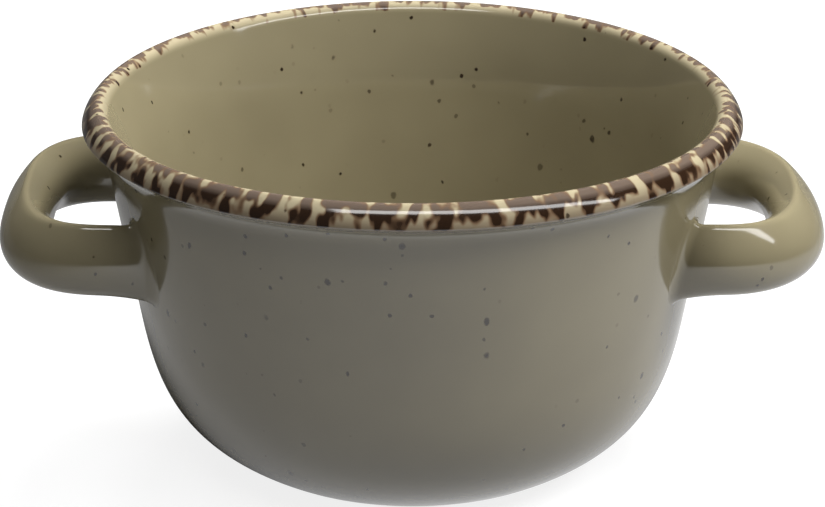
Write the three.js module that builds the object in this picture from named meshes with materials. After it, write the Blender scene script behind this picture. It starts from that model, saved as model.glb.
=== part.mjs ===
// A two-handled stoneware soup cup: a jiggered bowl with a rolled lip and a turned foot, and two pressed
// loop handles that are luted to its wall with slip.
// Millimetres, +Z up. The origin is the middle of the foot, on the surface that the cup stands on.
// The handles point along X, and the front of the cup faces -Y.
import * as THREE from "three";

// Bowl, outside
const RIM_DIAMETER = 125; // over the lip
const CUP_HEIGHT = 69.8;
const LIP_WIDTH = 5.8; // across the roll of the lip
const LIP_DROP = 3.8; // from the top of the lip down to its widest line
const LIP_EDGE = 0.9; // height of the small round below that line
const LIP_OVERHANG = 4.2; // how far the lip stands out past the neck
const NECK_DEPTH = 8.8; // from the top of the lip down to the neck
const WALL_LEAN = THREE.MathUtils.degToRad(10.3); // outward, from upright
const BOTTOM_TURN_HEIGHT = 27.6; // where the round bottom becomes the straight wall
const BOTTOM_RISE = THREE.MathUtils.degToRad(29); // slope of the bottom where it leaves the foot
const FOOT_DIAMETER = 67.4;
const FOOT_WIDTH = 4.4; // of the ring
const FOOT_EDGE = 0.6; // round on the ring's outer edge
const FOOT_RECESS = 2.2; // depth of the hollow inside the ring
const FOOT_COVE = 2.5; // width of the cove round that hollow

// Bowl, inside
const WALL_THICKNESS = 4.4;
const FLOOR_THICKNESS = 5.3;
const FLOOR_FLAT_DIAMETER = 44;
const INSIDE_TURN_HEIGHT = 22.5; // above the floor, where the round bottom becomes the straight wall
const LIP_FLARE_DEPTH = 9.8; // from the top of the lip down to where the inside starts to flare

// Fullness of a rounded corner: 0 is a straight bevel, 1 a sharp corner
const BOTTOM_FULLNESS = 0.77;
const LIP_FULLNESS = 0.7;

// Handles
const HANDLE_DROP = 23.7; // from the top of the lip down to the middle of the handles
const HANDLE_HEIGHT = 13.5; // of the section
const HANDLE_THICKNESS = 9.3; // of the section
const FINGER_GAP = 13.5; // from the wall to the inside of the loop
const LEG_SPACING = 48.6; // between the middles of the two legs
const LEG_LENGTH = 6.7; // straight part of a leg, from the wall
const LOOP_SQUARENESS = 2.6; // 2 bends the loop as an ellipse, more makes it boxier
const SECTION_SQUARENESS = 2.25;
const ROOT_RUN = 3.6; // how far along a leg its flare reaches
const ROOT_SPREAD_TOP = 7.5; // how far the flare spreads up the wall, towards the lip
const ROOT_SPREAD_SIDE = 2.2;
const ROOT_SPREAD_BOTTOM = 1.6;
const ROOT_EDGE_ANGLE = THREE.MathUtils.degToRad(25); // blunts the flare's edge on the wall
const SLIP_THICKNESS = 0.6;
const JOINT_CLEARANCE = 0.3; // between clay and slip

// Fineness of the surfaces
const TURN_SEGMENTS = 60;
const CURVE_STEPS = 6;
const SECTION_POINTS = 20;
const LOOP_RINGS = 21;
const FLARE_RINGS = 4;
const LEG_STEP = 0.5; // from the end of a leg's flare to the first ring of the loop
const CAP_SHARE = 0.5; // size of the ring halfway into a leg's end face

const GLAZE_COLOR = 0x8d8468;
const SLIP_COLOR = 0xb7a78a;

// Adds a curve that rounds off a corner, from the path's last point to the end point.
function roundCorner(path, corner, end, fullness) {
  const first = path.currentPoint.clone().lerp(corner, fullness);
  const second = end.clone().lerp(corner, fullness);
  path.bezierCurveTo(first.x, first.y, second.x, second.y, end.x, end.y);
}

// Outline of the bowl, as radius and height
const rimRadius = RIM_DIAMETER / 2;
const lipTopRadius = rimRadius - LIP_WIDTH / 2;
const lipWidestHeight = CUP_HEIGHT - LIP_DROP;
const neckRadius = rimRadius - LIP_OVERHANG;
const neckHeight = CUP_HEIGHT - NECK_DEPTH;
const footRadius = FOOT_DIAMETER / 2;
const footInnerRadius = footRadius - FOOT_WIDTH;
const floorHeight = FOOT_RECESS + FLOOR_THICKNESS;
const wallSlope = Math.tan(WALL_LEAN);
const wallWidth = WALL_THICKNESS / Math.cos(WALL_LEAN);

function outsideLine(height) {
  return new THREE.Vector2(neckRadius - (neckHeight - height) * wallSlope, height);
}

function insideLine(height) {
  return new THREE.Vector2(outsideLine(height).x - wallWidth, height);
}

// The outside runs from the edge of the foot, up the wall and under the lip to its widest line.
function outsideOutline() {
  const rise = new THREE.Vector2(Math.cos(BOTTOM_RISE), Math.sin(BOTTOM_RISE));
  const edge = new THREE.Vector2(footRadius, 0).addScaledVector(rise, FOOT_EDGE);
  const reach = (outsideLine(0).x - footRadius) / (rise.x - rise.y * wallSlope);
  const corner = new THREE.Vector2(footRadius, 0).addScaledVector(rise, reach);
  const underLip = outsideLine(lipWidestHeight - LIP_EDGE);
  const path = new THREE.Path();
  path.moveTo(footRadius - FOOT_EDGE, 0);
  path.quadraticCurveTo(footRadius, 0, edge.x, edge.y);
  roundCorner(path, corner, outsideLine(BOTTOM_TURN_HEIGHT), BOTTOM_FULLNESS);
  path.lineTo(neckRadius, neckHeight);
  path.bezierCurveTo(underLip.x, underLip.y, rimRadius, underLip.y, rimRadius, lipWidestHeight);
  return path.getPoints(CURVE_STEPS);
}

// The inside runs from the lip's widest line, over the lip and down to the middle of the floor.
function insideOutline() {
  const floorEdge = new THREE.Vector2(FLOOR_FLAT_DIAMETER / 2, floorHeight);
  const flareStart = insideLine(CUP_HEIGHT - LIP_FLARE_DEPTH);
  const turn = insideLine(floorHeight + INSIDE_TURN_HEIGHT);
  const path = new THREE.Path();
  path.moveTo(rimRadius, lipWidestHeight);
  path.absellipse(lipTopRadius, lipWidestHeight, LIP_WIDTH / 2, LIP_DROP, 0, Math.PI / 2);
  roundCorner(path, insideLine(CUP_HEIGHT), flareStart, LIP_FULLNESS);
  path.lineTo(turn.x, turn.y);
  roundCorner(path, insideLine(floorHeight), floorEdge, BOTTOM_FULLNESS);
  path.lineTo(0, floorHeight);
  return path.getPoints(CURVE_STEPS);
}

// The underside runs from the middle of the foot's hollow to the ring that the cup stands on.
function undersideOutline() {
  const path = new THREE.Path();
  path.moveTo(0, FOOT_RECESS);
  path.lineTo(footInnerRadius - FOOT_COVE, FOOT_RECESS);
  path.quadraticCurveTo(footInnerRadius, FOOT_RECESS, footInnerRadius, 0);
  return path.getPoints(CURVE_STEPS);
}

const outside = outsideOutline();

function cupBodyGeometry() {
  const outline = [...undersideOutline(), ...outside, ...insideOutline().slice(1)];
  return new THREE.LatheGeometry(outline, TURN_SEGMENTS).rotateX(Math.PI / 2);
}

// Radius of the outside of the wall at a height. Level with the lip's roll it is the lip's own.
function wallRadius(height) {
  const above = outside.findIndex((point) => point.y > height);
  if (above < 0) {
    return rimRadius;
  }
  const high = outside[above];
  const low = outside[above - 1];
  return THREE.MathUtils.mapLinear(height, low.y, high.y, low.x, high.x);
}

// Point beside the +X wall, a gap away from it.
function besideWall(y, z, gap) {
  const radius = wallRadius(z) + gap;
  return new THREE.Vector3(Math.sqrt(radius ** 2 - y ** 2), y, z);
}

// The handle's section is a rounded oblong: across points out of the loop, and up along Z.
function power(value, exponent) {
  return Math.sign(value) * Math.abs(value) ** exponent;
}

const section = Array.from({ length: SECTION_POINTS }, (_, index) => {
  const angle = (index / SECTION_POINTS) * 2 * Math.PI;
  const cos = Math.cos(angle);
  const sin = Math.sin(angle);
  const ends = sin > 0 ? ROOT_SPREAD_TOP : ROOT_SPREAD_BOTTOM;
  return {
    across: (HANDLE_THICKNESS / 2) * power(cos, 2 / SECTION_SQUARENESS),
    up: (HANDLE_HEIGHT / 2) * power(sin, 2 / SECTION_SQUARENESS),
    spread: THREE.MathUtils.lerp(ROOT_SPREAD_SIDE, ends, sin ** 2),
    cos,
    sin,
  };
});

const legY = LEG_SPACING / 2;
const handleHeight = CUP_HEIGHT - HANDLE_DROP;

// Ring round a leg that follows the wall's own curve. The flare angle runs from the edge on the wall to a
// right angle, where the flare has become the leg. The share shrinks the ring towards the leg's middle.
function rootRing(side, gap, flareAngle, share) {
  return section.map(({ across, up, spread, cos, sin }) => {
    const flare = spread * (1 - Math.sin(flareAngle));
    const y = legY + share * (across + flare * cos);
    const z = handleHeight + share * (up + flare * sin);
    const point = besideWall(side * y, z, gap);
    point.x += ROOT_RUN * (Math.cos(ROOT_EDGE_ANGLE) - Math.cos(flareAngle));
    return point;
  });
}

// Closed skin from a start point, over a row of rings, to an end point.
function loft(start, rings, end) {
  const points = [start, ...rings.flat(), end];
  const last = points.length - 1;
  const at = (ring, index) => 1 + ring * SECTION_POINTS + (index % SECTION_POINTS);
  const faces = [];
  for (let k = 0; k < SECTION_POINTS; k += 1) {
    faces.push(0, at(0, k), at(0, k + 1));
    for (let ring = 0; ring + 1 < rings.length; ring += 1) {
      faces.push(at(ring, k), at(ring + 1, k), at(ring, k + 1));
      faces.push(at(ring, k + 1), at(ring + 1, k), at(ring + 1, k + 1));
    }
    faces.push(last, at(rings.length - 1, k + 1), at(rings.length - 1, k));
  }
  const geometry = new THREE.BufferGeometry().setFromPoints(points);
  geometry.setIndex(faces);
  geometry.computeVertexNormals();
  return geometry;
}

// Middle line of the loop in plan, a half superellipse from the front leg round to the back leg.
class LoopLine extends THREE.Curve {
  constructor(startX, tipX, firstX) {
    super();
    this.startX = startX;
    this.depth = tipX - startX;
    this.reach = Math.acos(((firstX - startX) / this.depth) ** (LOOP_SQUARENESS / 2));
  }

  getPoint(share, target = new THREE.Vector3()) {
    const angle = (2 * share - 1) * this.reach;
    const x = this.startX + this.depth * power(Math.cos(angle), 2 / LOOP_SQUARENESS);
    const y = legY * power(Math.sin(angle), 2 / LOOP_SQUARENESS);
    return target.set(x, y, handleHeight);
  }
}

const handleGap = JOINT_CLEARANCE + SLIP_THICKNESS + JOINT_CLEARANCE;
const FRONT = -1;
const BACK = 1;

// Rings from the middle of a leg's end face out to its edge and along its flare.
function flareRings(side) {
  const rings = [rootRing(side, handleGap, ROOT_EDGE_ANGLE, CAP_SHARE)];
  for (let step = 0; step <= FLARE_RINGS; step += 1) {
    const angle = THREE.MathUtils.lerp(ROOT_EDGE_ANGLE, Math.PI / 2, step / FLARE_RINGS);
    rings.push(rootRing(side, handleGap, angle, 1));
  }
  return rings;
}

function loopRings(firstX) {
  const wall = wallRadius(handleHeight);
  const startX = Math.sqrt(wall ** 2 - legY ** 2) + LEG_LENGTH;
  const tipX = wall + FINGER_GAP + HANDLE_THICKNESS / 2;
  const line = new LoopLine(startX, tipX, firstX);
  return Array.from({ length: LOOP_RINGS }, (_, index) => {
    const share = index / (LOOP_RINGS - 1);
    const middle = line.getPointAt(share);
    const ahead = line.getTangentAt(share);
    const outward = new THREE.Vector3(ahead.y, -ahead.x, 0);
    return section.map(({ across, up }) =>
      middle.clone().addScaledVector(outward, across).setZ(handleHeight + up),
    );
  });
}

function handleGeometry() {
  const front = flareRings(FRONT);
  const back = flareRings(BACK);
  const firstX = Math.max(...front.at(-1).map((point) => point.x)) + LEG_STEP;
  const rings = [...front, ...loopRings(firstX), ...back.reverse()];
  return loft(
    besideWall(FRONT * legY, handleHeight, handleGap),
    rings,
    besideWall(BACK * legY, handleHeight, handleGap),
  );
}

// Skin of slip between the wall and a leg's end face, with the same outline as that face.
function slipGeometry(side) {
  const near = JOINT_CLEARANCE;
  const far = near + SLIP_THICKNESS;
  const rings = [
    rootRing(side, near, ROOT_EDGE_ANGLE, CAP_SHARE),
    rootRing(side, near, ROOT_EDGE_ANGLE, 1),
    rootRing(side, far, ROOT_EDGE_ANGLE, 1),
    rootRing(side, far, ROOT_EDGE_ANGLE, CAP_SHARE),
  ];
  const nearMiddle = besideWall(side * legY, handleHeight, near);
  const farMiddle = besideWall(side * legY, handleHeight, far);
  if (side === BACK) {
    return loft(farMiddle, rings.reverse(), nearMiddle);
  }
  return loft(nearMiddle, rings, farMiddle);
}

function glaze() {
  return new THREE.MeshStandardMaterial({ color: GLAZE_COLOR, roughness: 0.2, metalness: 0 });
}

function slip() {
  return new THREE.MeshStandardMaterial({ color: SLIP_COLOR, roughness: 0.8, metalness: 0 });
}

function piece(name, geometry, material) {
  const mesh = new THREE.Mesh(geometry, material);
  mesh.name = name;
  return mesh;
}

// A handle with the slip under its two legs. Turned by half a turn about Z it serves the other side,
// where its front leg comes to the back.
function handleGroup(name, turned) {
  const group = new THREE.Group();
  const [first, second] = turned ? ["back", "front"] : ["front", "back"];
  group.add(piece(`${name}_handle`, handleGeometry(), glaze()));
  group.add(piece(`${name}_handle_${first}_slip`, slipGeometry(FRONT), slip()));
  group.add(piece(`${name}_handle_${second}_slip`, slipGeometry(BACK), slip()));
  group.rotation.z = turned ? Math.PI : 0;
  return group;
}

const soupCup = new THREE.Group();
soupCup.name = "soup_cup";
soupCup.add(piece("cup_body", cupBodyGeometry(), glaze()));
soupCup.add(handleGroup("right", false));
soupCup.add(handleGroup("left", true));

export default soupCup;
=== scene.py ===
"""A two-handled stoneware soup cup with a speckled glaze and a brown rim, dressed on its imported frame."""
import math

import bpy
import numpy as np
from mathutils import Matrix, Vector


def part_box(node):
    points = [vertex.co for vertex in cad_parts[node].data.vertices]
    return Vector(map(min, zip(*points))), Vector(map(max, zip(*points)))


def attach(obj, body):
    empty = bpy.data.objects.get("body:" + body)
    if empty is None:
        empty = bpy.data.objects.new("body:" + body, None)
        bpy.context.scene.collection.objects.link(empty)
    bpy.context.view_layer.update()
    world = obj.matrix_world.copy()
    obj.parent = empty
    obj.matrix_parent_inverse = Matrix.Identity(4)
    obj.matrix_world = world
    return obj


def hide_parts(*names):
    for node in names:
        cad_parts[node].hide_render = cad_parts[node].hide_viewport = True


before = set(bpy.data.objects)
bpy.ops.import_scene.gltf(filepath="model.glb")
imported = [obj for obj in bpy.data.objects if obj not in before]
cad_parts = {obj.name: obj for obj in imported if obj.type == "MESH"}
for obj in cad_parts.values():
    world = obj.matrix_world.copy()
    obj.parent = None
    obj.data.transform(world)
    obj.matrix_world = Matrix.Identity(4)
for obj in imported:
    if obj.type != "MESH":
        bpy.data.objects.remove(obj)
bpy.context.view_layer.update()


# Cup body
# One piece of stoneware clay: a round bowl with a rolled lip and a turned foot ring. It is jiggered in a
# mould, its lip is rolled over by a template, and its rim warps a little in the kiln. Sizes are in millimetres.

MM = 0.001
RIM_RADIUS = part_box("cup_body")[1][0] / MM
CUP_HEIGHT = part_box("cup_body")[1][2] / MM
LIP_WIDTH = 5.8
LIP_DROP = 3.8
LIP_EDGE = 0.9
LIP_OVERHANG = 4.2  # past the neck, which is the wall's upper end under the lip
NECK_DEPTH = 8.8
WALL_LEAN = math.radians(10.3)
BOTTOM_TURN_HEIGHT = 27.6
BOTTOM_RISE = math.radians(29)
FOOT_RADIUS = 33.7
FOOT_WIDTH = 4.4
FOOT_EDGE = 0.6
FOOT_DRAFT = 0.05
FOOT_RECESS = 2.2
FOOT_COVE = 2.5
WALL_THICKNESS = 4.4
FLOOR_THICKNESS = 5.3
FLOOR_FLAT_RADIUS = 22.0
INSIDE_TURN_HEIGHT = 22.5
LIP_FLARE_DEPTH = 17.0
LIP_FLARE_LEAN = math.radians(24)
LIP_INNER_RADIUS = 2.4  # the lip turns tightly into the flare inside it
BOTTOM_FULLNESS = 0.77  # how near a bend keeps to its corner, inside and out
COVE_FULLNESS = 0.62
FOOT_INNER_FULLNESS = 0.55
FOOT_OUTER_FULLNESS = 0.67
FLARE_FULLNESS = 0.67
LIP_SHOULDER = 1.45  # 2 is an ellipse, and less is a flatter shoulder
KILN_WARP = 0.32  # the rim's rise at front and back, and its fall at the handles
AXIS_GAP = 0.4  # radius of the first and the last ring, which a fan of faces closes
TURN_STEPS = 320

lip_widest = CUP_HEIGHT - LIP_DROP
neck = np.array([RIM_RADIUS - LIP_OVERHANG, CUP_HEIGHT - NECK_DEPTH])
floor_height = FOOT_RECESS + FLOOR_THICKNESS
foot_inner = FOOT_RADIUS - FOOT_WIDTH


def outside_line(height):
    return np.array([neck[0] - (neck[1] - height) * math.tan(WALL_LEAN), height])


def inside_line(height):
    return outside_line(height) - (WALL_THICKNESS / math.cos(WALL_LEAN), 0)


def curve(start, first, second, end, steps):
    """Points after the start on a cubic curve between two points of an outline."""
    t = np.linspace(0, 1, steps + 1)[1:, None]
    points = [np.asarray(p, float) for p in (start, first, second, end)]
    weights = [(1 - t) ** 3, 3 * t * (1 - t) ** 2, 3 * t**2 * (1 - t), t**3]
    return sum(w * p for w, p in zip(weights, points))


def rounded(start, corner, end, fullness, steps):
    """A curve that rounds off a corner. Fullness 0 is a straight bevel and 1 the sharp corner."""
    start, corner, end = (np.asarray(p, float) for p in (start, corner, end))
    return curve(start, start + fullness * (corner - start), end + fullness * (corner - end), end, steps)


def straight(start, end, steps):
    return curve(start, start + (end - start) / 3, end + (start - end) / 3, end, steps)


# The outline runs from the middle of the underside over foot, wall and lip to the middle of the floor.
climb = np.array([math.cos(BOTTOM_RISE), math.sin(BOTTOM_RISE)])
foot = np.array([FOOT_RADIUS, 0.0])
foot_reach = (outside_line(0)[0] - FOOT_RADIUS) / (climb[0] - climb[1] * math.tan(WALL_LEAN))
hollow_middle = np.array([AXIS_GAP, FOOT_RECESS])
hollow_edge = np.array([foot_inner - FOOT_COVE, FOOT_RECESS])
ring_inner = np.array([foot_inner, 0.0])
ring_inner_top = np.array([foot_inner + FOOT_DRAFT, FOOT_EDGE])
ring_outer = foot - (FOOT_EDGE, 0)
foot_side = foot + FOOT_EDGE * climb
wall_start = outside_line(BOTTOM_TURN_HEIGHT)
under_lip = outside_line(lip_widest - LIP_EDGE)
lip_side = np.array([RIM_RADIUS, lip_widest])
lip_top = np.array([RIM_RADIUS - LIP_WIDTH / 2, CUP_HEIGHT])
flare_start = inside_line(CUP_HEIGHT - LIP_FLARE_DEPTH)
lip_turn = np.linspace(0, math.pi / 2 - LIP_FLARE_LEAN, 17)[1:, None]
lip_inside = lip_top + LIP_INNER_RADIUS * np.hstack([-np.sin(lip_turn), np.cos(lip_turn) - 1])
flare_gap = lip_inside[-1, 0] - inside_line(lip_inside[-1, 1])[0]
flare_way = flare_gap / (math.tan(LIP_FLARE_LEAN) - math.tan(WALL_LEAN))
inside_turn = inside_line(floor_height + INSIDE_TURN_HEIGHT)
floor_edge = np.array([FLOOR_FLAT_RADIUS, floor_height])
floor_middle = np.array([AXIS_GAP, floor_height])
lip_shoulder = np.linspace(0, math.pi / 2, 33)[1:, None]
outside_parts = [
    straight(hollow_middle, hollow_edge, 12),
    rounded(hollow_edge, (foot_inner, FOOT_RECESS), ring_inner_top, COVE_FULLNESS, 8),
    rounded(ring_inner_top, ring_inner, ring_inner + (FOOT_EDGE, 0), FOOT_INNER_FULLNESS, 6),
    straight(ring_inner + (FOOT_EDGE, 0), ring_outer, 6),
    rounded(ring_outer, foot, foot_side, FOOT_OUTER_FULLNESS, 6),
    rounded(foot_side, foot + foot_reach * climb, wall_start, BOTTOM_FULLNESS, 44),
    straight(wall_start, neck, 24),
    curve(neck, under_lip, (RIM_RADIUS, under_lip[1]), lip_side, 26),
    np.hstack([
        lip_top[0] + LIP_WIDTH / 2 * np.cos(lip_shoulder) ** (2 / LIP_SHOULDER),
        lip_widest + LIP_DROP * np.sin(lip_shoulder) ** (2 / LIP_SHOULDER),
    ]),
]
inside_parts = [
    lip_inside,
    rounded(lip_inside[-1], inside_line(lip_inside[-1, 1] - flare_way), flare_start, FLARE_FULLNESS, 24),
    straight(flare_start, inside_turn, 18),
    rounded(inside_turn, inside_line(floor_height), floor_edge, BOTTOM_FULLNESS, 44),
    straight(floor_edge, floor_middle, 14),
]
outline = np.vstack([hollow_middle, *outside_parts, *inside_parts])
part_ends = np.cumsum([len(part) for part in outside_parts])
crest = part_ends[-1]
walked = np.concatenate([[0], np.cumsum(np.linalg.norm(np.diff(outline, axis=0), axis=1))])
below_crest = walked[crest] - walked  # positive outside, negative inside


def settled(points):
    """Points in millimetres, with the small saddle that the kiln gives to the rim."""
    turn = np.arctan2(points[..., 1], points[..., 0])
    fall = KILN_WARP * np.cos(2 * turn) * (points[..., 2] / CUP_HEIGHT) ** 2
    return points - np.stack([0 * fall, 0 * fall, fall], -1)


def skin(name, rings, from_crest):
    """Closed mesh over a row of rings. It keeps each ring's way from the lip's crest for the rim's colour."""
    count, around = rings.shape[:2]
    ends = np.array([rings[0].mean(0), rings[-1].mean(0)])
    points = np.vstack([rings.reshape(-1, 3), ends]) * MM
    ring, spot = np.meshgrid(np.arange(count - 1), np.arange(around), indexing="ij")
    beside = (spot + 1) % around
    here, above = ring * around, (ring + 1) * around
    quads = np.stack([here + spot, here + beside, above + beside, above + spot], -1)
    first, last = count * around, count * around + 1
    k = np.arange(around)
    start_fan = np.stack([np.full(around, first), (k + 1) % around, k], -1)
    top = (count - 1) * around
    end_fan = np.stack([np.full(around, last), top + k, top + (k + 1) % around], -1)
    mesh = bpy.data.meshes.new(name)
    mesh.from_pydata(points.tolist(), [], quads.reshape(-1, 4).tolist() + start_fan.tolist() + end_fan.tolist())
    mesh.polygons.foreach_set("use_smooth", np.arange(len(mesh.polygons)) < quads.size // 4)
    way = np.concatenate([np.repeat(from_crest, around), [from_crest[0], from_crest[-1]]])
    mesh.attributes.new("from_crest", "FLOAT", "POINT").data.foreach_set("value", way.astype(np.float32))
    mesh.update()
    mesh.validate()
    piece = bpy.data.objects.new(name, mesh)
    bpy.context.scene.collection.objects.link(piece)
    return piece


turn = np.linspace(0, 2 * math.pi, TURN_STEPS, endpoint=False)
lathe = np.stack([
    outline[:, :1] * np.cos(turn),
    outline[:, :1] * np.sin(turn),
    np.repeat(outline[:, 1:], TURN_STEPS, 1),
], -1)
cup_body = skin("stoneware_cup_body", settled(lathe), below_crest)


def colour(code):
    """Linear colour of an sRGB hex code."""
    parts = [int(code[k : k + 2], 16) / 255 for k in (1, 3, 5)]
    return (*(c / 12.92 if c <= 0.04045 else ((c + 0.055) / 1.055) ** 2.4 for c in parts), 1.0)


def add(tree, kind, settings, inputs, output=0):
    """Adds a shader node. Each input is a value or another node's output."""
    node = tree.nodes.new("ShaderNode" + kind)
    for name, value in settings.items():
        setattr(node, name, value)
    for name, value in inputs.items():
        if isinstance(value, bpy.types.NodeSocket):
            tree.links.new(value, node.inputs[name])
        else:
            node.inputs[name].default_value = value
    return node.outputs[output]


# Reactive stoneware glaze: a glossy glass coat, sage beige, that iron in the clay has burnt through in small
# dark specks. Iron oxide brushed on the lip has run brown, and the glaze breaks to cream beside it.
GLAZE = "#7e765d"
GLAZE_THICK = "#776f57"
CREAM = "#9f957a"
IRON = "#26170b"
# Painted sheen: iron on the lip's crest is greyed to stand in for the overhead light's reflection there
IRON_PAINTED_SHEEN = "#5e5147"
IRON_THIN = "#6a533e"
# A thin rust wash on the lip's outer face, darkened along its lower edge as painted shade where the lip faces
# down
RUST_AND_SHADE = "#6f5f4f"
SPECK = "#24180a"
CLOUD_SIZE = 28.0  # the patterns' sizes in millimetres
WOBBLE_SIZE = 1.1
WOBBLE_REACH = 0.5
SPECK_KINDS = ((3.6, 0.42, 0.85), (7.4, 0.66, 0.75))  # spacing, radius, and under 1 where they run down
BLOT_SIZE = 2.3
STREAK_SIZE = 1.5
SWELL_SIZE = 14.0
SWELL_HEIGHT = 0.12
PEEL_SIZE = 2.5
PEEL_HEIGHT = 0.012

glaze = bpy.data.materials.new("reactive_stoneware_glaze")
glaze.use_nodes = True
tree = glaze.node_tree
tree.nodes.clear()
place = add(tree, "TexCoord", {}, {}, "Object")
place = add(tree, "VectorMath", {"operation": "SCALE"}, {0: place, "Scale": 1 / MM})
crest_way = add(tree, "Attribute", {"attribute_name": "from_crest"}, {}, "Fac")

# Colour of the coat, a little deeper where it lies thicker
cloud = add(tree, "TexNoise", {}, {"Vector": place, "Scale": 1 / CLOUD_SIZE, "Detail": 2.0, "Roughness": 0.5})
cloud = add(tree, "MapRange", {}, {"Value": cloud, "From Min": 0.35, "From Max": 0.65})
coat = add(tree, "Mix", {"data_type": "RGBA"}, {0: cloud, 6: colour(GLAZE), 7: colour(GLAZE_THICK)}, 2)

# Iron specks with soft edges: most under a millimetre, and a few larger ones that have run a little
wobble = add(tree, "TexNoise", {}, {"Vector": place, "Scale": 1 / WOBBLE_SIZE, "Detail": 1.0}, 1)
wobble = add(tree, "VectorMath", {"operation": "SUBTRACT"}, {0: wobble, 1: (0.5, 0.5, 0.5)})
wobble = add(tree, "VectorMath", {"operation": "SCALE"}, {0: wobble, "Scale": WOBBLE_REACH})
uneven = add(tree, "VectorMath", {"operation": "ADD"}, {0: place, 1: wobble})
speck_shade = None
for spacing, radius, run in SPECK_KINDS:
    stretch = (1 / spacing, 1 / spacing, run / spacing)
    stretched = add(tree, "VectorMath", {"operation": "MULTIPLY"}, {0: uneven, 1: stretch})
    cells = add(tree, "TexVoronoi", {}, {"Vector": stretched, "Scale": 1.0})
    chance = add(tree, "SeparateColor", {}, {0: cells.node.outputs["Color"]})
    spot = add(
        tree, "MapRange", {"interpolation_type": "SMOOTHSTEP"},
        {"Value": cells, "From Min": 1.15 * radius / spacing, "From Max": 0.6 * radius / spacing},
    )
    strength = add(tree, "MapRange", {}, {"Value": chance, "From Min": 0.25, "From Max": 0.6, "To Max": 0.97})
    spot = add(tree, "Math", {"operation": "MULTIPLY"}, {0: spot, 1: strength})
    if speck_shade is not None:
        spot = add(tree, "Math", {"operation": "MAXIMUM"}, {0: spot, 1: speck_shade})
    speck_shade = spot

# Rim band: blots and runs of iron in noise on a ring of the rim's own radius, so that it closes on itself.
# Each has a level that the noise must pass, and each other colour a share, by the way in millimetres from the
# lip's crest: positive outside, negative inside.
BAND_REACH = 8.0
BLOT_LEVELS = (
    (-1.8, 1.0), (-1.2, 0.62), (-0.5, 0.49), (0.6, 0.43), (2.0, 0.42), (3.6, 0.45), (5.0, 0.53), (6.2, 1.0),
)
STREAK_LEVELS = ((-3.4, 1.0), (-2.6, 0.64), (-1.6, 0.6), (-0.6, 0.56), (0.8, 1.0))
CREAM_SHARES = ((-3.2, 0.0), (-2.0, 0.6), (-1.0, 1.0), (3.8, 1.0), (5.2, 0.6), (6.6, 0.0))
# Painted sheen: the share of the greyed iron colour about the lip's crest
CREST_SHEEN_SHARES = ((-2.5, 0.0), (-1.2, 1.0), (1.2, 1.0), (2.4, 0.0))
# Rust wash and painted shade, out to the lip's lower edge
RUST_AND_SHADE_SHARES = ((2.2, 0.0), (4.2, 0.6), (6.2, 0.75), (7.2, 0.0))
flat = add(tree, "VectorMath", {"operation": "MULTIPLY"}, {0: place, 1: (1, 1, 0)})
flat = add(tree, "VectorMath", {"operation": "NORMALIZE"}, {0: flat})
flat = add(tree, "VectorMath", {"operation": "SCALE"}, {0: flat, "Scale": RIM_RADIUS})
down = add(tree, "CombineXYZ", {}, {"Z": crest_way})
rim_place = add(tree, "VectorMath", {"operation": "ADD"}, {0: flat, 1: down})
band_share = add(tree, "MapRange", {}, {"Value": crest_way, "From Min": -BAND_REACH, "From Max": BAND_REACH})
levels = []
for steps in (BLOT_LEVELS, STREAK_LEVELS, CREAM_SHARES, CREST_SHEEN_SHARES, RUST_AND_SHADE_SHARES):
    level = add(tree, "ValToRGB", {}, {"Fac": band_share})
    ramp = level.node.color_ramp
    while len(ramp.elements) < len(steps):
        ramp.elements.new(0.5)
    for element, (way, value) in zip(ramp.elements, steps):
        element.position = (way + BAND_REACH) / (2 * BAND_REACH)
        element.color = (value, value, value, 1)
    levels.append(level)
blot_level, streak_level, cream, crest_sheen, rust_and_shade_line = levels
blot_place = add(tree, "VectorMath", {"operation": "MULTIPLY"}, {0: rim_place, 1: (1, 1, 0.6)})
blots = add(
    tree, "TexNoise", {}, {"Vector": blot_place, "Scale": 1 / BLOT_SIZE, "Detail": 0.8, "Distortion": 0.2}
)
streak_place = add(tree, "VectorMath", {"operation": "MULTIPLY"}, {0: rim_place, 1: (1, 1, 0.3)})
streaks = add(
    tree, "TexNoise", {"noise_dimensions": "4D"},
    {"Vector": streak_place, "W": 7.0, "Scale": 1 / STREAK_SIZE, "Detail": 0.5, "Distortion": 0.2},
)
blots = add(tree, "Math", {"operation": "SUBTRACT"}, {0: blots, 1: blot_level})
streaks = add(tree, "Math", {"operation": "SUBTRACT"}, {0: streaks, 1: streak_level})
rust = add(tree, "Math", {"operation": "MAXIMUM"}, {0: blots, 1: streaks})
iron = add(
    tree, "MapRange", {"interpolation_type": "SMOOTHSTEP"}, {"Value": rust, "From Min": -0.07, "From Max": 0.04}
)
iron_deep = add(
    tree, "MapRange", {"interpolation_type": "SMOOTHSTEP"}, {"Value": rust, "From Min": -0.01, "From Max": 0.1}
)
# Iron on the crest takes the painted sheen colour
iron_coat = add(tree, "Mix", {"data_type": "RGBA"}, {0: crest_sheen, 6: colour(IRON), 7: colour(IRON_PAINTED_SHEEN)}, 2)
iron_coat = add(tree, "Mix", {"data_type": "RGBA"}, {0: iron_deep, 6: colour(IRON_THIN), 7: iron_coat}, 2)
coat = add(tree, "Mix", {"data_type": "RGBA"}, {0: cream, 6: coat, 7: colour(CREAM)}, 2)
# Rust wash with painted shade under the lip's shoulder
coat = add(tree, "Mix", {"data_type": "RGBA"}, {0: rust_and_shade_line, 6: coat, 7: colour(RUST_AND_SHADE)}, 2)
coat = add(tree, "Mix", {"data_type": "RGBA"}, {0: speck_shade, 6: coat, 7: colour(SPECK)}, 2)
coat = add(tree, "Mix", {"data_type": "RGBA"}, {0: iron, 6: coat, 7: iron_coat}, 2)

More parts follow.
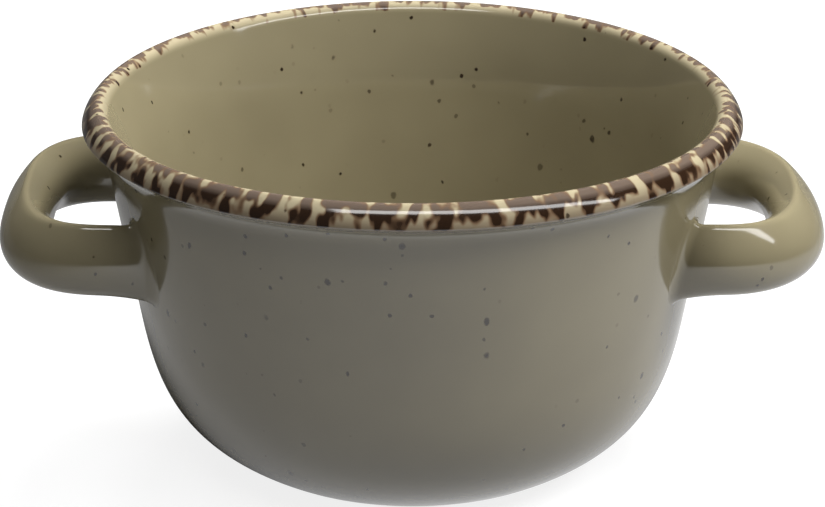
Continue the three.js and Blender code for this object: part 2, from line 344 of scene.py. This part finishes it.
# The fired coat is not quite even: slow swells and a fine orange peel
swell = add(tree, "TexNoise", {}, {"Vector": place, "Scale": 1 / SWELL_SIZE, "Detail": 1.0})
peel = add(tree, "TexNoise", {}, {"Vector": place, "Scale": 1 / PEEL_SIZE, "Detail": 1.0})
swell_bump = add(tree, "Bump", {}, {"Strength": 1.0, "Distance": SWELL_HEIGHT * MM, "Height": swell})
peel_bump = add(
    tree, "Bump", {}, {"Strength": 1.0, "Distance": PEEL_HEIGHT * MM, "Height": peel, "Normal": swell_bump}
)
surface = add(
    tree, "BsdfPrincipled", {}, {"Base Color": coat, "Roughness": 0.1, "IOR": 1.7, "Normal": peel_bump}
)
output = tree.nodes.new("ShaderNodeOutputMaterial")
tree.links.new(surface, output.inputs["Surface"])

# Bare stoneware: the foot ring is wiped and ground, so the fired buff clay shows, matt and a little sandy.
CLAY = "#b59c7c"
CLAY_GRIT = "#7d6347"
GRIT_SIZE = 0.7
GRIT_HEIGHT = 0.05
bare_clay = bpy.data.materials.new("bare_ground_stoneware")
bare_clay.use_nodes = True
tree = bare_clay.node_tree
tree.nodes.clear()
place = add(tree, "TexCoord", {}, {}, "Object")
place = add(tree, "VectorMath", {"operation": "SCALE"}, {0: place, "Scale": 1 / MM})
grit = add(tree, "TexNoise", {}, {"Vector": place, "Scale": 1 / GRIT_SIZE, "Detail": 3.0})
grains = add(tree, "MapRange", {}, {"Value": grit, "From Min": 0.5, "From Max": 0.75})
clay = add(tree, "Mix", {"data_type": "RGBA"}, {0: grains, 6: colour(CLAY), 7: colour(CLAY_GRIT)}, 2)
sanded = add(tree, "Bump", {}, {"Distance": GRIT_HEIGHT * MM, "Height": grit})
surface = add(tree, "BsdfPrincipled", {}, {"Base Color": clay, "Roughness": 0.85, "IOR": 1.5, "Normal": sanded})
output = tree.nodes.new("ShaderNodeOutputMaterial")
tree.links.new(surface, output.inputs["Surface"])

cup_body.data.materials.append(glaze)
cup_body.data.materials.append(bare_clay)
ground_from = part_ends[1] + 2  # past the cove
ground_to = part_ends[4] - 2  # short of the foot's outer edge
ring_of_face = np.arange(len(cup_body.data.polygons)) // TURN_STEPS
is_ground = (ring_of_face >= ground_from) & (ring_of_face < ground_to)
cup_body.data.polygons.foreach_set("material_index", is_ground.astype(np.int32))
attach(cup_body, "root")
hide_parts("cup_body")


# Handles
# Two pressed clay loops, one on either side, with a ridge along the top. Their ends are scored, luted to the wall
# with slip and smoothed out into a small fillet, and the same glaze covers the joint.

RIDGE = 7.1  # the section's heights, from its middle
INNER_LEVEL = -0.9
UNDERSIDE = -7.0
KEEL_OFFSET = 0.6  # the lowest line, off the middle
OUTER_SHARE = 0.455  # of the thickness, outside the loop's middle line
SHOULDER_WIDTH = 0.85  # the ridge is rounded off this far to either side, and down
SHOULDER_DROP = 0.45
CROWN_LIFT = 0.35
CROWN_FULLNESS = 0.7
INNER_FLANK = 2.5  # a power of 1 is a straight slope, and more is a fuller one
INNER_UNDER = 1.4
# Ridge off the middle, height of the widest line outside, and fullness of the outer flank
LEG_SHAPE = (1.05, -0.3, 1.7)
TIP_SHAPE = (-0.8, -2.4, 1.9)  # the bend is rounder outside than the legs
LOOP_START = 56.7  # where the legs end and the bend starts, from the cup's axis
RISE_FROM = 62.0  # a loop's rise turns it about this line
LEG_PINCH = 1.8  # at the wall the legs' outer faces round inwards
INNER_PINCH = 0.1
PINCH_FROM = 58.5
PINCH_REACH = 8.0
PINCH_LIMIT = 1.15
PINCH_DROOP = 0.37
ROOT_SAG = 1.2  # and their lower edges grow deeper
SAG_FROM = LOOP_START + 2
SAG_REACH = 10.0
SAG_LIMIT = 1.2
ROOT_RUN = 2.2  # the fillet's reach along the leg, and over the wall
ROOT_SPREAD_TOP = 1.8
ROOT_SPREAD_SIDE = 2.0
ROOT_SPREAD_BOTTOM = 0.6
SUNK = 0.012  # the joint's edge lies this deep in the wall
WALL_GUESS = 51.0  # from the axis, where the search for the wall starts
WALL_ROUNDS = 6
SECTION_STEPS = 96
LOOP_STEPS = 90
LEG_STEPS = 16
JOINT_STEPS = 12
FAR_FROM_LIP = 40.0  # keeps the rim band off the handles

outer_wall = outline[part_ends[4] : crest]


def wall_radius(height):
    return np.interp(height, outer_wall[:, 1], outer_wall[:, 0])


def power(value, exponent):
    return np.sign(value) * np.abs(value) ** exponent


def section(thickness, ridge_offset, outer_level, outer_flank):
    """Evenly spaced points round a handle's section, across and up, from its lowest line over the outer face."""
    outside, inside = OUTER_SHARE * thickness, (OUTER_SHARE - 1) * thickness
    low = np.linspace(math.pi / 2, 0, 28)[:-1]
    up = np.linspace(0, 1, 20)
    shoulder = np.array([ridge_offset + SHOULDER_WIDTH, RIDGE - SHOULDER_DROP])
    crown = np.array([ridge_offset - SHOULDER_WIDTH, RIDGE - SHOULDER_DROP])
    outer = np.vstack([
        np.stack([
            KEEL_OFFSET + (outside - KEEL_OFFSET) * np.cos(low),
            outer_level + (UNDERSIDE - outer_level) * np.sin(low),
        ], -1),
        np.stack([
            outside + (shoulder[0] - outside) * up**outer_flank,
            outer_level + (shoulder[1] - outer_level) * up,
        ], -1),
    ])
    inner = np.vstack([
        np.stack([
            KEEL_OFFSET + (inside - KEEL_OFFSET) * np.cos(low) ** INNER_UNDER,
            INNER_LEVEL + (UNDERSIDE - INNER_LEVEL) * np.sin(low) ** INNER_UNDER,
        ], -1),
        np.stack([
            inside + (crown[0] - inside) * up**INNER_FLANK,
            INNER_LEVEL + (crown[1] - INNER_LEVEL) * up,
        ], -1),
    ])[::-1]
    top = rounded(shoulder, (ridge_offset, RIDGE + CROWN_LIFT), crown, CROWN_FULLNESS, 14)
    points = np.vstack([outer, top, inner[1:]])
    length = np.concatenate([[0], np.cumsum(np.linalg.norm(np.diff(points, axis=0), axis=1))])
    even = np.linspace(0, length[-1], SECTION_STEPS, endpoint=False)
    return np.interp(even, length, points[:, 0]), np.interp(even, length, points[:, 1])


def handle_rings(middle, rise, leg, tip, squareness, thickness, shift):
    """Rings of a loop on the right side, from the joint of its front leg to the joint of its back leg.

    Middle is a height, leg and tip are ways from the axis along Y and X, and shift moves the loop along Y.
    """
    across, upward = section(thickness, *LEG_SHAPE)
    tip_across, tip_upward = section(thickness, *TIP_SHAPE)
    outer_part = across / thickness + 1 - OUTER_SHARE
    low_part = (RIDGE - upward) / (RIDGE - UNDERSIDE)
    facing = np.arctan2(upward / RIDGE, across / (OUTER_SHARE * thickness))
    cos, sin = np.cos(facing), np.sin(facing)
    ends = np.where(sin > 0, ROOT_SPREAD_TOP, ROOT_SPREAD_BOTTOM)
    spread = ROOT_SPREAD_SIDE + (ends - ROOT_SPREAD_SIDE) * sin**2

    def drawn(x):
        """How far the section's points are drawn in, and how far down, at their way from the cup's axis."""
        pinch = np.clip((PINCH_FROM - x) / PINCH_REACH, 0, PINCH_LIMIT) ** 2
        pinch = pinch * LEG_PINCH * (INNER_PINCH + (1 - INNER_PINCH) * outer_part)
        sag = np.clip((SAG_FROM - x) / SAG_REACH, 0, SAG_LIMIT) ** 2 * ROOT_SAG * low_part
        return pinch, PINCH_DROOP * pinch + sag - rise * (x - RISE_FROM)

    def leg_rings(side):
        """Rings of a leg from the wall outwards. The first ones turn from flat on the wall to along the leg."""
        rings = []
        for angle in np.linspace(0, math.pi / 2, JOINT_STEPS):
            flare = spread * (1 - math.sin(angle))
            run = ROOT_RUN * (1 - math.cos(angle))
            x = np.full(SECTION_STEPS, WALL_GUESS)
            for _ in range(WALL_ROUNDS):
                inward, downward = drawn(x)
                y = side * (leg + across - inward + flare * cos) + shift
                z = middle + upward - downward + flare * sin
                x = np.sqrt((wall_radius(z) - SUNK) ** 2 - y**2) + run
            rings.append(np.stack([x, y, z], -1))
        for part in np.linspace(0, 1, LEG_STEPS)[1:]:
            along = x + (LOOP_START - x) * part
            inward, downward = drawn(along)
            y = side * (leg + across - inward) + shift
            rings.append(np.stack([along, y, middle + upward - downward], -1))
        return rings

    fine = np.linspace(-math.pi / 2, math.pi / 2, 4001)
    line = np.stack([
        LOOP_START + (tip - LOOP_START) * np.cos(fine) ** (2 / squareness),
        leg * power(np.sin(fine), 2 / squareness),
    ], -1)
    length = np.concatenate([[0], np.cumsum(np.linalg.norm(np.diff(line, axis=0), axis=1))])
    even = np.linspace(0, length[-1], LOOP_STEPS + 2)[1:-1]
    line = np.stack([np.interp(even, length, line[:, k]) for k in (0, 1)], -1)
    ahead = np.gradient(line, axis=0)
    ahead /= np.linalg.norm(ahead, axis=1, keepdims=True)
    outward = np.stack([ahead[:, 1], -ahead[:, 0]], -1)
    inward, downward = drawn(line[:, :1])
    bend = ((line[:, :1] - LOOP_START) / (tip - LOOP_START)) ** 2
    sideways = across + bend * (tip_across - across) - inward
    heights = middle + upward + bend * (tip_upward - upward) - downward
    flat_points = line[:, None] + sideways[..., None] * outward[:, None] + (0, shift)
    loop = np.concatenate([flat_points, heights[..., None]], -1)
    return np.concatenate([leg_rings(-1), loop, leg_rings(1)[::-1]])


# Bent and fixed by hand, the two loops differ a little. The left one is mirrored, and its rings are turned round
# so that its faces still look outwards.
right_rings = handle_rings(
    middle=45.95, rise=0.0, leg=23.6, tip=73.65, squareness=2.33, thickness=11.0, shift=0.45
)
left_rings = handle_rings(
    middle=46.5, rise=0.025, leg=24.35, tip=74.0, squareness=2.65, thickness=10.1, shift=-0.2
) * (-1, 1, 1)
for name, rings in (("right", right_rings), ("left", left_rings[:, ::-1])):
    handle = skin(f"{name}_loop_handle", settled(rings), np.full(len(rings), FAR_FROM_LIP))
    handle.data.materials.append(glaze)
    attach(handle, "root")
    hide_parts(f"{name}_handle", f"{name}_handle_front_slip", f"{name}_handle_back_slip")


# Floor, light and camera
# A plain table laid with white paper in a dim room, under softboxes above, at the right and behind, and a long
# tube in front. In the gloss alone the paper glows in a painted pool of light before the cup, with a painted
# shadow of the cup in it, and away from the pool the gloss sees it darker, a painted shade.

TABLE_SIZE = 6.0
TABLE_DROP = 0.0002  # keeps the paper clear of the ground foot
PAPER_GLOW = 0.84  # with the lamps' light on it, the paper then shows white
PAPER_SHADE = 0.2
PAPER_FAR_SHADE = 0.06  # painted shade: the paper's colour as the gloss sees it, darker than its own
# Painted pool of light, a glow on the paper that only the gloss sees: its middle, where it is full, where it
# ends, and its strength
POOL_MIDDLE = (0.1, -0.13, 0)
POOL_FULL = 0.06
POOL_END = 0.4
POOL_GLOW = 1.06
# Painted shadow of the cup in that pool: its middle, where it is full, and where it ends
CUP_SHADE_MIDDLE = (-0.01, 0.034, 0)
CUP_SHADE_FULL = 0.05
CUP_SHADE_END = 0.078
bpy.ops.mesh.primitive_plane_add(size=TABLE_SIZE, location=(0, 0, -TABLE_DROP))
table = bpy.context.object
table.name = "floor"
paper = bpy.data.materials.new("matt_white_paper")
paper.use_nodes = True
tree = paper.node_tree
tree.nodes.clear()
seen = add(tree, "LightPath", {}, {}, "Is Camera Ray")
in_gloss = seen.node.outputs["Is Glossy Ray"]
shown = add(tree, "Math", {"operation": "MULTIPLY"}, {0: seen, 1: PAPER_GLOW})
place = add(tree, "NewGeometry", {}, {}, "Position")
from_pool = add(tree, "VectorMath", {"operation": "DISTANCE"}, {0: place, 1: POOL_MIDDLE}, 1)
from_cup = add(tree, "VectorMath", {"operation": "DISTANCE"}, {0: place, 1: CUP_SHADE_MIDDLE}, 1)
beside_cup = add(
    tree, "MapRange", {"interpolation_type": "SMOOTHSTEP"},
    {"Value": from_cup, "From Min": CUP_SHADE_FULL, "From Max": CUP_SHADE_END, "To Max": POOL_GLOW},
)
# The painted pool of light, with the painted shadow of the cup cut into it
painted_light_pool = add(
    tree, "MapRange", {"interpolation_type": "SMOOTHSTEP"},
    {"Value": from_pool, "From Min": POOL_FULL, "From Max": POOL_END, "To Min": beside_cup, "To Max": 0.0},
)
# Glow: the painted pool in the gloss, plus the even white that the camera sees
mirrored = add(tree, "Math", {"operation": "MULTIPLY_ADD"}, {0: in_gloss, 1: painted_light_pool, 2: shown})
glow = add(tree, "Emission", {}, {"Color": (1, 1, 1, 1), "Strength": mirrored})
# In the gloss the paper's colour drops to the painted shade
shade = add(tree, "MapRange", {}, {"Value": in_gloss, "To Min": PAPER_SHADE, "To Max": PAPER_FAR_SHADE})
matt = add(tree, "BsdfDiffuse", {}, {"Color": shade})
sheet = add(tree, "AddShader", {}, {0: glow, 1: matt})
output = tree.nodes.new("ShaderNodeOutputMaterial")
tree.links.new(sheet, output.inputs["Surface"])
table.data.materials.append(paper)

ROOM_LEVEL = 0.06
world = bpy.data.worlds.new("dim_room")
bpy.context.scene.world = world
world.use_nodes = True
tree = world.node_tree
tree.nodes.clear()
seen = add(tree, "LightPath", {}, {}, "Is Camera Ray")
level = add(tree, "MapRange", {}, {"Value": seen, "To Min": ROOM_LEVEL, "To Max": 1.0})
backdrop = add(tree, "Background", {}, {"Color": (1, 1, 1, 1), "Strength": level})
output = tree.nodes.new("ShaderNodeOutputWorld")
tree.links.new(backdrop, output.inputs["Surface"])

MIDDLE = (0, 0, 0.04)
# Each lamp's place, what it is turned to, its size in metres and its power in watts
for name, spot, aim, size, watts in (
    ("ceiling_softbox", (0.2, 1.05, 1.25), (0.2, 1.05, 0.0), (3.0, 3.4), 26.0),
    ("right_softbox", (0.5, -0.12, 0.56), MIDDLE, (0.3, 0.3), 5.0),
    ("back_softbox", (0.2, 0.6, 1.0), MIDDLE, (0.8, 0.8), 22.0),
    ("front_tube", (0.8, -0.55, 1.0), (0.8, 0.0, 0.04), (2.4, 0.2), 9.8),
):
    lamp = bpy.data.lights.new(name, "AREA")
    lamp.shape = "RECTANGLE"
    lamp.size, lamp.size_y = size
    lamp.energy = watts
    stand = bpy.data.objects.new(name, lamp)
    bpy.context.scene.collection.objects.link(stand)
    stand.location = spot
    stand.visible_glossy = name == "front_tube"  # only the tube shows as a highlight
    stand.rotation_euler = (Vector(aim) - Vector(spot)).to_track_quat("-Z", "Y").to_euler()

VIEW_HEIGHT = 0.0378  # of the point on the cup's axis that the camera looks at
VIEW_DISTANCE = 0.7
VIEW_ANGLE = math.radians(21.17)
LENS = 158.82
camera = bpy.data.objects.new("camera", bpy.data.cameras.new("camera"))
camera.data.sensor_width = 36.0
camera.data.lens = LENS
camera.location = (0, -VIEW_DISTANCE * math.cos(VIEW_ANGLE), VIEW_HEIGHT + VIEW_DISTANCE * math.sin(VIEW_ANGLE))
camera.rotation_euler = (math.pi / 2 - VIEW_ANGLE, 0, 0)
bpy.context.scene.collection.objects.link(camera)
bpy.context.scene.camera = camera
bpy.context.scene.view_settings.view_transform = "Standard"
